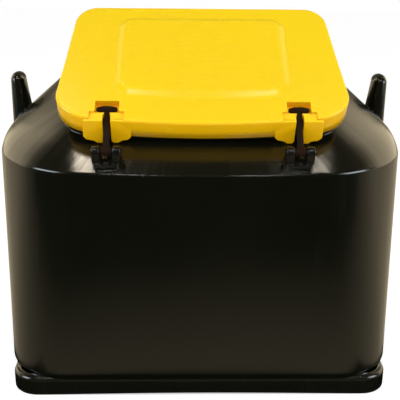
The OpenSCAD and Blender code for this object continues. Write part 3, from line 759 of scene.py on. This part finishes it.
# the lid's outline run straight down into the body
def collarLoft(name, outset, top):
    return place(ringLoft(name, [lidRing(outset, lidForm["collarFoot"]), lidRing(outset, top)]), slopeMatrix)


def growHorn(side):
    form = bodyForm
    horn = grown("horn", hornTree, "body_black", {
        "Width": form["hornWidth"], "Depth": form["hornDepth"], "Flare": form["hornFlare"],
        "Root Height": form["shoulder"] - form["hornRoot"],
        "Neck Height": form["hornTop"] - form["hornWidth"] / 2,
        "Outer Reach": form["halfWidth"] + form["sideBow"], "Squareness": hornShape["squareness"],
    })
    horn.data.materials.clear()
    return fixNormals(place(horn, Matrix.Diagonal((side, 1, 1, 1))))


def hingeLug(x):
    form = hingeForm
    r, y, z = form["radius"], hingeSpot.y, hingeSpot.z
    foot, waist = ridgeHeight - bodyForm["wall"] / 2, form["lugWaist"]
    outline = arc(y, z, r, range(16, 233, 6))
    outline += [(y - r * waist[0], z - r * waist[1]), (y - r, foot), (y + r + form["lugHeel"], foot)]
    return prism("lug", outline, x - form["lug"] / 2, x + form["lug"] / 2, (1, 2, 0))


# the outline that a bracket's base plate and its pad share
def plateOutline(x):
    form = bracketForm
    ring = roundedRing(form["width"] / 2 - form["edge"], form["length"] / 2, [form["corner"]] * 4, 8, 2)
    return [(across + x, along + latchPin["u"]) for across, along in ring]


def makeBody():
    outer = bodyLoft("outerSkin", 0, 3)
    shell = copyOf(outer)
    shell.name = "bodyShell"
    inner = bodyLoft("innerSkin", bodyForm["wall"], 1)
    outset = lidForm["wall"] + lidForm["collarClearance"]
    collar = collarLoft("collar", outset, rimHeight)
    throat = collarLoft("throat", outset + bodyForm["wall"], rimHeight + 0.02)
    skins = [outer, inner, copyOf(collar), copyOf(throat)]
    cut(shell, collar, "UNION")
    for side in sides.values():
        horn = growHorn(side)
        skins.append(copyOf(horn))
        cut(shell, horn, "UNION")
        for s in (-1, 1):
            cut(shell, hingeLug(side * hingeForm["x"] + s * (lugInner + hingeForm["lug"] / 2)), "UNION")
    cut(shell, copyOf(inner))
    cut(shell, throat)
    top, bottom = -bracketForm["drop"], -bracketForm["drop"] - bracketForm["insert"]
    for side in sides.values():
        x = side * latchX
        cut(shell, place(prism("pad", plateOutline(x), bottom - 0.004, top), slopeMatrix), "UNION")
        for u in bracketForm["bolts"]:
            outline = circle(x, u, bracketForm["insertRadius"], 32)
            cut(shell, place(prism("socket", outline, bottom, 0.003), slopeMatrix))
        cut(shell, rod("bore", hingeForm["bore"], 0.106, (side * hingeForm["x"], hingeSpot.y, hingeSpot.z)))
    span = bodyForm["halfWidth"] - bodyForm["plinthCornerRadius"]
    arch = [(x, bodyForm["plinthArch"] * (1 - (x / span) ** 2)) for x in steps(-span, span, 24)]
    cut(shell, prism("arch", arch + [(span, -0.005), (-span, -0.005)], -0.53, 0.53, (0, 2, 1)))
    return takeNormals(shell, skins)


dress(makeBody(), "body_black", "bin_body")


def lidLoft(name, inset, lowW):
    top = lidTop - inset
    edge = max(0.002, lidForm["edgeRadius"] - inset)
    rings = [lidRing(inset, lowW), lidRing(inset, lerp(lowW, top - edge, 0.5))]
    rings += [lidRing(inset + edge * over, top - edge * down) for over, down in edgeShares(8)]
    rings.append(lidRing(inset + edge + lidForm["flatEdge"], top))
    return ringLoft(name, rings)


def panelLoft(name, inset):
    form = lidForm
    top = lidTop - inset
    middle = form["frontU"] + form["panelFront"] + form["panelLength"] / 2

    def ring(grow, w):
        a = form["panelHalfWidth"] - inset / 2 + grow
        b = form["panelLength"] / 2 - inset / 2 + grow
        outline = roundedRing(a, b, [form["panelRadius"] + grow] * 4, form["steps"], form["steps"])
        return [(x, middle + y + form["panelBow"] * (x / a) ** 2 * clamp(-y / b), w) for x, y in outline]

    # the first ring is sunk into the lid's top
    rings = [ring(0.002, top - 0.001)]
    rings += [ring(-form["panelSlope"] * share, top + form["panelHeight"] * eased(share))
              for share in steps(0, 1, 12)]
    rings.append(ring(-form["panelSlope"] - form["flatEdge"], top + form["panelHeight"]))
    return ringLoft(name, rings)


keeperBow = lidForm["frontBow"] * (latchX / lidForm["halfWidth"]) ** 2
cheekU = lidForm["frontU"] + keeperBow - keeperForm["cheekOut"]
ledgeW = lidTop - keeperForm["ledgeDrop"]


# a pair of leaning cheeks and a tub round the pocket
def keeperParts(side):
    form, wall, x = keeperForm, lidForm["wall"], side * latchX
    low = ledgeW + min(w for across, w in form["cheek"])
    innerU, reach = cheekU + form["cheekOut"] + wall, form["width"] / 2 + 0.001
    profile = [(cheekU - form["cheekLean"], low), (innerU, low), (innerU, ledgeW), (cheekU, ledgeW)]
    parts = []
    for s in (-1, 1):
        outline = [(x + s * across, ledgeW + w) for across, w in form["cheek"]]
        cheek = prism("cheek", outline, cheekU - form["cheekLean"], innerU, (0, 2, 1))
        parts.append(cut(cheek, prism("lean", profile, x - reach, x + reach, (1, 2, 0)), "INTERSECT"))
    parts.append(boxAt("tub", x, form["ledgeWidth"] + 2 * wall,
                       (cheekU + 0.008, cheekU + form["pocketBack"] + wall),
                       (lidTop - lidForm["pocketDepth"] - wall, lidTop - lidForm["edgeRadius"] / 4)))
    return parts


latchForm = {
    "length": 0.112, "angle": 22.5, "barHalf": 0.027, "barEnd": 0.32, "bar": 0.018, "strap": 0.0165,
    "thick": 0.009, "collar": 0.019, "collarBack": 0.028, "neck": 0.011, "eyeWidth": 0.028, "eye": 0.010,
    "squareness": 0.6, "sides": 40, "grain": 0.0008,
}
collarAt = latchForm["length"] - latchForm["collarBack"]
collarEndU = latchPin["u"] + (collarAt + 0.007) * math.cos(math.radians(latchForm["angle"])) + 0.003
seatRadius = latchForm["length"] - latchForm["bar"] / 2 - 0.0004


# the room for the latch: a ledge, a pocket behind the T-bar's way, and slots for collar and neck
def keeperCuts(side):
    form, x, through = keeperForm, side * latchX, (-0.040, 0.160)
    low, barEndU = cheekU - form["cheekLean"], latchPin["u"] + seatRadius + 0.004
    pocket = boxAt("pocket", x, form["pocketWidth"],
                   (cheekU + form["pocketFront"], cheekU + form["pocketBack"]),
                   (lidTop - lidForm["pocketDepth"], lidTop + 0.040))
    cut(pocket, rod("seat", seatRadius, 0.074, (x, latchPin["u"], latchPin["w"]), 180))
    return [
        boxAt("ledge", x, form["ledgeWidth"], (low, cheekU + form["pocketBack"] * form["ledgeShare"]),
              (ledgeW, ledgeW + 0.06)),
        pocket,
        boxAt("slot", x, form["slot"], (low - 0.001, collarEndU), through),
        boxAt("neckSlot", x, form["neckSlot"], (collarEndU - 0.001, barEndU), through),
    ]


def makeLid():
    lid = lidLoft("lidShell", 0, lidForm["gap"])
    skins = [copyOf(lid)]
    for operation, part in (("UNION", panelLoft("panel", 0)),
                            ("DIFFERENCE", lidLoft("lidInside", lidForm["wall"], lidForm["gap"] - 0.001)),
                            ("DIFFERENCE", panelLoft("panelInside", lidForm["wall"]))):
        skins.append(copyOf(part))
        cut(lid, part, operation)
    r, u, w = hingeForm["radius"], hingeForm["u"], hingeForm["w"]
    root = lidRear - lidForm["wall"] / 2
    knuckle = arc(u, w, r, range(-90, 91, 6)) + [(root, w + r + 0.014), (root, lidForm["gap"] + 0.001)]
    for side in sides.values():
        x, half = side * hingeForm["x"], hingeForm["knuckle"] / 2
        for part in keeperParts(side):
            cut(lid, part, "UNION")
        for part in keeperCuts(side):
            cut(lid, part)
        cut(lid, prism("knuckle", knuckle, x - half, x + half, (1, 2, 0)), "UNION")
        cut(lid, rod("bore", hingeForm["bore"], 2 * half + 0.004, (x, u, w)))
    return place(takeNormals(lid, skins), slopeMatrix)


dress(makeLid(), "lid_yellow", "lid", "lid")


# a latch's pin, where a piece that is made round the X axis is put
def pinPlace(side):
    return slopeMatrix @ Matrix.Translation((side * latchX, latchPin["u"], latchPin["w"]))


def strapRing(width, depth, z):
    ring = []
    for point in circle(0, 0, 1, latchForm["sides"]):
        x, y = (math.copysign(abs(p) ** latchForm["squareness"], p) for p in point)
        ring.append((width / 2 * x, depth / 2 * y, z))
    return ring


# a rubber latch: a strap with its collar and neck, a T-bar and a pivot eye, melted into one moulding
def makeLatch(name, side):
    form = latchForm
    strap, thick, neck, eye, end = form["strap"], form["thick"], form["neck"], form["eye"], form["length"]
    # place from the pin, width and thickness
    sections = [
        (0.002, form["eyeWidth"] * 0.9, thick * 1.5), (eye, form["eyeWidth"] * 0.78, thick * 1.25),
        (eye + 0.007, strap * 1.04, thick), (collarAt - 0.014, strap, thick),
        (collarAt - 0.006, strap, thick * 1.1), (collarAt - 0.001, form["collar"], thick * 1.4),
        (collarAt + 0.002, form["collar"], thick * 1.4), (collarAt + 0.007, neck * 1.15, thick * 1.15),
        (collarAt + 0.012, neck, thick), (end - form["bar"] * 0.5, neck, thick),
        (end - form["bar"] * 0.2, neck * 1.3, thick * 1.1),
    ]
    rings = []
    for (s0, w0, t0), (s1, w1, t1) in zip(sections, sections[1:]):
        for share in steps(0, 1, 3)[:-1]:
            soft = eased(share)
            rings.append(strapRing(lerp(w0, w1, soft), lerp(t0, t1, soft), lerp(s0, s1, share)))
    rings.append(strapRing(w1, t1, s1))
    latch = place(ringLoft(name, rings), Matrix.Rotation(math.radians(-90), 4, "X"))
    cut(latch, rod("eye", eye, form["eyeWidth"]), "UNION")
    lens = [(form["barHalf"] * math.sin(t), form["bar"] / 2 * lerp(form["barEnd"], 1, math.cos(t)))
            for t in steps(-math.pi / 2, math.pi / 2, 24)]
    cut(latch, turned("bar", lens, (0, end, 0), form["sides"]), "UNION")
    modified(latch, "REMESH", mode="VOXEL", voxel_size=form["grain"])
    modified(latch, "SMOOTH", factor=0.5, iterations=5)
    fixNormals(latch)
    cut(latch, rod("bore", latchPin["bore"], form["eyeWidth"] + 0.004))
    smooth(latch, 40)
    return place(latch, pinPlace(side) @ Matrix.Rotation(math.radians(form["angle"]), 4, "X"))


# a clevis bracket: a base plate and two ears with rounded edges
def makeBracket(name, side):
    form = bracketForm
    thick = (form["width"] - form["gap"]) / 2
    u, w, low = latchPin["u"], latchPin["w"], -form["drop"]
    bracket = prism(name, plateOutline(0), low, low + form["base"])
    modified(bracket, "BEVEL", width=form["plateBevel"], segments=3, limit_method="ANGLE")
    foot = low + form["earSunk"]
    outline = arc(u, w, form["ear"], range(-10, 171, 6))
    outline += [(u - form["ear"] - form["earFront"], foot), (u + form["ear"] + form["earRear"], foot)]
    for s in (-1, 1):
        middle = s * (form["gap"] + thick) / 2
        ear = prism("ear", outline, middle - thick / 2, middle + thick / 2, (1, 2, 0))
        modified(ear, "BEVEL", width=form["earBevel"], segments=4, limit_method="ANGLE",
                 angle_limit=math.radians(50))
        cut(bracket, ear, "UNION")
    cut(bracket, rod("bore", latchPin["bore"], form["width"] + 0.002, (0, u, w)))
    for y in form["bolts"]:
        cut(bracket, prism("hole", circle(0, y, form["hole"], 32), low - 0.001, low + form["base"] + 0.001))
    smooth(bracket, 32)
    return place(bracket, slopeMatrix @ Matrix.Translation((side * latchX, 0, 0)))


fastenerForm = {
    "ring": 0.002, "ringGap": 0.0003, "latchRing": 0.0075, "hingeRing": 0.011, "washer": 0.0015,
    "washerRadius": 0.0066, "boltHead": 0.00495, "boltHeight": 0.0039, "boltRadius": 0.003,
    "boltLength": 0.020, "bore": 0.00308, "insertRadius": 0.00695, "pinSpare": 0.004, "pinChamfer": 0.0008,
    "rodSpare": 0.006, "rodChamfer": 0.001, "rounding": 0.0003, "insertRounding": 0.0006,
}


def makePin(name, radius, length, chamfer, matrix):
    half, tip = length / 2, radius - chamfer
    profile = [(-half, tip), (-half + chamfer, radius), (half - chamfer, radius), (half, tip)]
    return smooth(place(turned(name, profile), matrix), 30)


# two rings, a step apart
def ringPair(name, slot, start, step, outer, inner, thick, matrix, turn=(0.0, 0.0, 0.0),
             rounding=fastenerForm["rounding"]):
    return grown(name, ringTree, slot, {
        "Count": 2, "Start": start, "Step": step, "Turn": turn, "Outer": outer, "Inner": inner,
        "Thickness": thick, "Rounding": rounding,
    }, matrix)


# the retaining rings on the two ends of a pin, just outside what it runs through
def endRings(name, slot, reach, outer, inner, matrix):
    thick = fastenerForm["ring"]
    reach += thick / 2 + fastenerForm["ringGap"]
    across = (0.0, math.pi / 2, 0.0)
    return ringPair(name, slot, (-reach, 0, 0), (2 * reach, 0, 0), outer, inner, thick, matrix, across)


for title, side in sides.items():
    clevis, form, black, bracket = bracketForm, fastenerForm, "fastener_black", title + "_bracket"
    boltPlace = slopeMatrix @ Matrix.Translation((side * latchX, 0, -clevis["drop"]))
    hingePlace = Matrix.Translation((side * hingeForm["x"], hingeSpot.y, hingeSpot.z))
    head, first = clevis["base"] + form["washer"], clevis["bolts"][0]
    pitch = (0.0, clevis["bolts"][1] - first, 0.0)
    rodReach = lugInner + hingeForm["lug"]
    pinLength = clevis["width"] + 2 * form["ring"] + form["pinSpare"]
    rodLength = 2 * rodReach + 2 * form["ring"] + form["rodSpare"]
    dress(makeLatch(title + "LatchRubber", side), "latch_rubber", title + "_latch", title + "_latch")
    dress(makeBracket(title + "BracketBody", side), "bracket_black", bracket)
    dress(makePin(title + "CrossPin", latchPin["radius"], pinLength, form["pinChamfer"], pinPlace(side)),
          black, title + "_latch_pin")
    dress(endRings(title + "PinRings", black, clevis["width"] / 2, form["latchRing"], latchPin["bore"],
                   pinPlace(side)), black, title + "_latch_pin_rings")
    dress(grown(title + "Bolts", boltTree, black, {
        "Count": 2, "Start": (0.0, first, head), "Step": pitch, "Head Radius": form["boltHead"],
        "Head Height": form["boltHeight"], "Shank Radius": form["boltRadius"], "Length": form["boltLength"],
    }, boltPlace), black, bracket + "_bolts")
    dress(ringPair(title + "Washers", black, (0, first, head - form["washer"] / 2), pitch,
                   form["washerRadius"], form["bore"], form["washer"], boltPlace),
          black, bracket + "_washers")
    dress(ringPair(title + "Inserts", "insert_brass", (0, first, -clevis["insert"] / 2), pitch,
                   form["insertRadius"], form["bore"], clevis["insert"], boltPlace,
                   rounding=form["insertRounding"]),
          "insert_brass", bracket + "_inserts")
    dress(makePin(title + "HingeRod", hingeForm["rod"], rodLength, form["rodChamfer"], hingePlace),
          "steel", title + "_hinge_pin")
    dress(endRings(title + "RodRings", "steel", rodReach, form["hingeRing"], hingeForm["bore"], hingePlace),
          "steel", title + "_hinge_rings")

# the studio: white for the camera; mirrored, warm and bright at the back and sides, dark in front and above
stageForm = {
    "floor": (0.93, 0.93, 0.93), "reach": 14.0, "glow": 0.5, "white": (1.0, 1.0, 1.0), "world": 0.52,
    "warm": (1.0, 0.84, 0.56), "mirrored": 2.1, "dark": 0.05,
    # the floor's painted glow in reflections: how it fades and its levels, and a painted shadow round the
    # plinth's footprint
    "floorFade": (-1.4, 0.1), "sideTilt": 0.12,
    "floorLevels": ((0.0, 0.0), (0.15, 0.06), (0.53, 0.38), (0.75, 0.55), (1.0, 0.70)),
    "footprint": (0.53, 0.45), "footShade": (0.09, 0.135),
    "slant": 2.1, "upperEdge": (-0.25, 0.30),
    "sideLean": (0.62, 0.27), "sideEdge": (-0.09, 0.03), "middle": 0.08,
}


def makeFloor():
    form = stageForm
    reach = form["reach"]
    corners = [(-reach, -reach, 0), (reach, -reach, 0), (reach, reach, 0), (-reach, reach, 0)]
    floor = newObject("floor", corners, [(0, 1, 2, 3)])
    shader = Shader("floorWhite")
    lit = shader.node("ShaderNodeBsdfDiffuse", None, {"Color": form["floor"]})
    glow = shader.light("ShaderNodeEmission", form["white"], form["glow"])
    both = shader.node("ShaderNodeAddShader", None, {0: lit, 1: glow})
    # in reflections the floor is a painted glow, which darkens towards the camera, where the studio has no
    # light
    depth = shader.axis("Y") + shader.axis("X") * form["sideTilt"]
    share = shader.ease(depth, *form["floorFade"], way="LINEAR")
    level = shader.node("ShaderNodeValToRGB", {"stops": form["floorLevels"]}, {0: share})
    # and a painted shadow darkens that glow right at the plinth, where the walls would shade it
    beside, before = (shader.maths("ABSOLUTE", shader.axis(axis)) - half
                      for axis, half in zip("XY", form["footprint"]))
    clear = shader.ease(shader.maths("MAXIMUM", beside, before), *form["footShade"])
    paintedFloorGlow = shader.light("ShaderNodeEmission", form["warm"], level * clear)
    plain = shader.either(shader.ray("Camera"), lit, both)
    mixed = shader.either(shader.ray("Glossy"), plain, paintedFloorGlow)
    shader.node("ShaderNodeOutputMaterial", None, {"Surface": mixed})
    floor.data.materials.append(shader.material)


def makeWorld():
    form = stageForm
    world = bpy.data.worlds.new("studio")
    scene.world = world
    world.use_nodes = True
    nodes = Nodes(world.node_tree)
    ray = nodes.node("ShaderNodeTexCoord", output="Generated")
    side, back, up = (nodes.part(ray, axis) for axis in "XYZ")
    # the backdrop's upper edge: it stands about twice as high as it is far away
    low = nodes.ease(back * form["slant"] - up, *form["upperEdge"])
    # and it is lit from both sides, so its middle is darker
    lean = back * form["sideLean"][0] + up * form["sideLean"][1]
    aside = nodes.ease(nodes.maths("ABSOLUTE", side) - lean, *form["sideEdge"], form["middle"])
    lamp, white, room = (nodes.light("ShaderNodeBackground", colour, strength) for colour, strength in (
        (form["white"], form["world"]), (form["white"], 1.0),
        (form["warm"], low * aside * form["mirrored"] + form["dark"])))
    plain = nodes.either(nodes.ray("Camera") + nodes.ray("Transmission"), lamp, white)
    nodes.node("ShaderNodeOutputWorld", None, {"Surface": nodes.either(nodes.ray("Glossy"), plain, room)})


# place, aim, size, power, colour, whether it lights and whether it is mirrored;
# the panels stand beside the shoulders, the cards above the front corners
lampForms = {
    "topLamp": ((0.0, -0.6, 3.2), (0, 0, 0.6), (2.4, 1.6), 6, (1, 1, 1), True, False),
    "frontLamp": ((0.0, -3.2, 0.9), (0, -0.3, 0.7), (2.0, 1.0), 10, (1, 1, 1), True, False),
    "leftFlash": ((-0.78, -2.32, 3.02), (0, -0.35, 0.7), (0.35, 0.35), 9, (1, 1, 1), True, True),
    "rightFlash": ((0.74, -2.32, 3.02), (0, -0.35, 0.7), (0.35, 0.35), 9, (1, 1, 1), True, True),
    "leftLamp": ((-2.45, -1.30, 1.70), (0, -0.3, 0.6), (0.75, 0.65), 18, (0.93, 0.98, 1.0), True, False),
    "rightLamp": ((2.45, -1.40, 1.70), (0, -0.3, 0.6), (0.75, 0.65), 20, (0.93, 0.98, 1.0), True, False),
    "leftPanel": ((-2.45, -1.30, 1.40), (-0.4, -0.43, 0.65), (1.3, 1.15), 40, (0.82, 0.93, 1.0), False, True),
    "rightPanel": ((2.45, -1.44, 1.35), (0.4, -0.43, 0.65), (1.35, 1.15), 44, (0.84, 0.94, 1.0), False, True),
    "leftCard": ((-0.76, -0.25, 2.6), (-0.31, -0.42, 0.67), (0.26, 0.15), 3.2, (1.0, 0.88, 0.7), False, True),
    "rightCard": ((0.825, -0.33, 2.6), (0.3, -0.44, 0.66), (0.06, 0.23), 1.2, (1.0, 0.90, 0.74), False, True),
}


def makeLamp(name, spot, aim, size, power, colour, lights, mirrored):
    data = bpy.data.lights.new(name, "AREA")
    data.shape = "RECTANGLE"
    data.size, data.size_y = size
    data.energy = power
    data.color = colour
    lamp = bpy.data.objects.new(name, data)
    lamp.location = spot
    lamp.rotation_euler = (Vector(aim) - Vector(spot)).to_track_quat("-Z", "Y").to_euler()
    lamp.visible_diffuse = lights
    lamp.visible_glossy = mirrored
    scene.collection.objects.link(lamp)


makeFloor()
makeWorld()
for name, values in lampForms.items():
    makeLamp(name, *values)
print("stage and light made")
